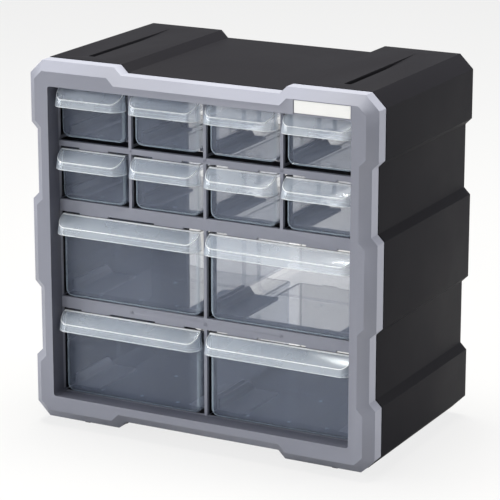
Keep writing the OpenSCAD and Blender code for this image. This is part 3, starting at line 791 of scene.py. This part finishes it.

# grey film tones for the rim tops and the back walls, both painted shade
SHADE_FILM_TONES = (0.19, 0.19, 0.20, 1), (0.24, 0.24, 0.245, 1)
CLEAR_WALL = clear_plastic("clear_wall", (0.56, 0.66, 0.90, 1), (0.66, 0.76, 0.98, 1),
                           thinnest=0.085, turned=0.5, gloss=0.3)
# painted shade: a grey film on the back walls that dims the light through the window
CLEAR_BACK_SHADE = clear_plastic("clear_back_shade", *SHADE_FILM_TONES, thinnest=0.3, turned=0.3)
# painted shade: a dark film on the front wall's inner face that dims the inside
CLEAR_FRONT_SHADE = clear_plastic("clear_front_shade", (0.11, 0.135, 0.20, 1), (0.135, 0.16, 0.225, 1),
                            thinnest=0.27, turned=0.3)
CLEAR_TOP_SHADE = clear_plastic("clear_top_shade", *SHADE_FILM_TONES, thinnest=0.72, turned=0.2)
# a lighter, more covering copy of the clear plastic on the handles: painted light for how bright they stand
# under the lamps
CLEAR_GRIP_LIT = clear_plastic("clear_grip_lit", (0.76, 0.86, 1.0, 1), (0.86, 0.93, 1.0, 1),
                           thinnest=0.30, turned=0.4, gloss=0.1)
# near white film: painted highlight on the drawers' rounded edges and along the back of their handles' tops
CLEAR_EDGE_HIGHLIGHT = clear_plastic("clear_edge_highlight", (0.93, 0.97, 1.0, 1), (0.96, 0.98, 1.0, 1),
                           thinnest=0.9, turned=0.1)
# grey-blue film: painted highlight on the front's outer rounding, the ribs' fronts and the ejector marks
CLEAR_BLUE_HIGHLIGHT = clear_plastic("clear_blue_highlight", (0.50, 0.62, 0.76, 1), (0.60, 0.72, 0.85, 1),
                          thinnest=0.34, turned=0.5, gloss=0.1)
# near black film: painted shade, the dark lines in the clear plastic's inner corners
CLEAR_PAINTED_SHADE = clear_plastic("clear_painted_shade", (0.01, 0.02, 0.05, 1), (0.02, 0.035, 0.08, 1),
                            thinnest=0.4, turned=0.1)


def dress(piece, material):
    """Puts one material on a piece."""
    return coat(piece, material)


# ---- the cabinet ----

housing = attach(dress(moulded_housing(), BLACK), "cabinet")
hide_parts("outer_housing", "housing_top", "housing_back",
            "groove_strip_left", "groove_strip_right")
front = coat(front_moulding(), GREY, BLACK, RECESS_SHADE_GREY)
# the opening's inside faces get the darker grey, painted shade for the recess
with Editing(front) as edit:
    edit.paint(RECESS_SHADE_GREY, lambda at, way: RECESS_Y < at.y < RECESS_END and abs(at.x) < OPENING_X + NEAR
               and OPENING_LOW - NEAR < at.z < OPENING_TOP + NEAR)
# the webs take black plastic: painted shade for the dark gaps round the drawers
select_only(front, *[coat(web, BLACK) for web in shade_webs()])
bpy.ops.object.join()
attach(front, "cabinet")
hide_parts("front_frame")
for node in ("guides_1", "guides_2", "guides_3", "guides_4"):
    dress(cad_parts[node], GREY)
dress(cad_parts["label"], label_paper())

patterns = {SMALL_CELL: clear_drawer("small_drawer", SMALL_CELL, SMALL_H),
            LARGE_CELL: clear_drawer("large_drawer", LARGE_CELL, LARGE_H)}
for cell in cells():
    drawer = copy_of(patterns[cell.width], f"clear_drawer_{cell.name}", cell.x,
                     ROW_FLOORS[cell.row] + FLOOR_GAP)
    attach(drawer, f"drawer_{cell.name}")
    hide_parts(f"drawer_{cell.name}")
for pattern in patterns.values():
    bpy.data.objects.remove(pattern)


# ---- studio: places and sizes in metres ----

FLOOR_SIZE, FLOOR_GLOW, WORLD_STRENGTH, MIRRORED = 16, 0.8, 0.2, 0.2

# name, place, aim, side, power in watts and colour
SOFTBOXES = [
    ("top_softbox", (-0.1, 0.08, 1.5), (0, 0, 0.2), 0.7, 45, (1.0, 0.975, 0.90)),
    ("left_softbox", (-1.9, -1.1, 0.6), (0, 0, 0.13), 1.2, 30, (1.0, 0.99, 0.97)),
    ("front_softbox", (-0.6, -2.2, 1.15), (0, 0, 0.13), 0.9, 13.5, (0.96, 0.98, 1.0)),
    ("right_softbox", (1.9, 0.9, 0.6), (0, 0, 0.13), 0.9, 34, (1.0, 0.99, 0.97)),
]

# the camera as it fits the photograph: degrees and millimetres, and how far it sees in metres
CAMERA_YAW, CAMERA_PITCH = 27.936, 15.749
CAMERA_AIM, CAMERA_BACK, CAMERA_LEFT, CAMERA_DOWN = (0, 0.5, 134.5), 1773.7, 0.446, 8.518
CAMERA_LENS, CAMERA_SENSOR = 180.81, 36
CAMERA_REACH = 100


def pale_floor():
    """A plain floor that keeps the object's shadow and looks nearly white to the camera."""
    bpy.ops.object.select_all(action="DESELECT")
    bpy.ops.mesh.primitive_plane_add(size=FLOOR_SIZE, location=(0, 0, 0))
    piece = settle(bpy.context.object, "studio_floor")
    finish = Finish("pale_floor", Base_Color=(0.45, 0.45, 0.45, 1), Roughness=0.9)
    glow = finish.add("ShaderNodeEmission", {}, {"Color": (1, 1, 1, 1), "Strength": 1.0})
    surface = Value(finish, finish.shader.outputs[0])
    mixed = finish.add("ShaderNodeMixShader", {},
                       {0: FLOOR_GLOW * finish.seen_plainly(), 1: surface, 2: glow})
    finish.feed(finish.tree.nodes["Material Output"].inputs["Surface"], mixed)
    piece.data.materials.append(finish.material)


def studio_world():
    """A dim world that is white where the camera sees it."""
    world = bpy.data.worlds.new("studio_world")
    bpy.context.scene.world = world
    world.use_nodes = True
    backdrop = Nodes(world.node_tree)
    background = backdrop.tree.nodes["Background"]
    background.inputs["Color"].default_value = (0.95, 0.97, 1.0, 1)
    backdrop.feed(background.inputs["Strength"],
                  WORLD_STRENGTH + (1 - WORLD_STRENGTH) * backdrop.seen_plainly())


def softbox(name, place, aim, size, power, colour):
    """A square lamp turned towards a point and out of the camera's sight."""
    bpy.ops.object.select_all(action="DESELECT")
    direction = Vector(aim) - Vector(place)
    bpy.ops.object.light_add(type="AREA", location=place,
                             rotation=direction.to_track_quat("-Z", "Y").to_euler())
    lamp = bpy.context.object
    lamp.name = name
    lamp.data.shape = "SQUARE"
    lamp.data.size = size
    lamp.data.energy = power
    lamp.data.color = colour
    lamp.visible_camera = False


def photo_camera():
    """The camera at the photograph's viewing angle, with no shift."""
    yaw, pitch = math.radians(CAMERA_YAW), math.radians(CAMERA_PITCH)
    back = Vector((math.sin(yaw) * math.cos(pitch), -math.cos(yaw) * math.cos(pitch), math.sin(pitch)))
    right = Vector((math.cos(yaw), math.sin(yaw), 0))
    up = back.cross(right)
    place = (Vector(CAMERA_AIM) + back * CAMERA_BACK - right * CAMERA_LEFT - up * CAMERA_DOWN) * MM
    bpy.ops.object.select_all(action="DESELECT")
    bpy.ops.object.camera_add(location=place, rotation=(-back).to_track_quat("-Z", "Y").to_euler())
    camera = bpy.context.object
    camera.name = "photo_camera"
    camera.data.lens = CAMERA_LENS
    camera.data.sensor_width = CAMERA_SENSOR
    camera.data.clip_end = CAMERA_REACH
    bpy.context.scene.camera = camera


pale_floor()
studio_world()
for lamp in SOFTBOXES:
    softbox(*lamp)
photo_camera()
bpy.context.scene.view_settings.view_transform = "Standard"
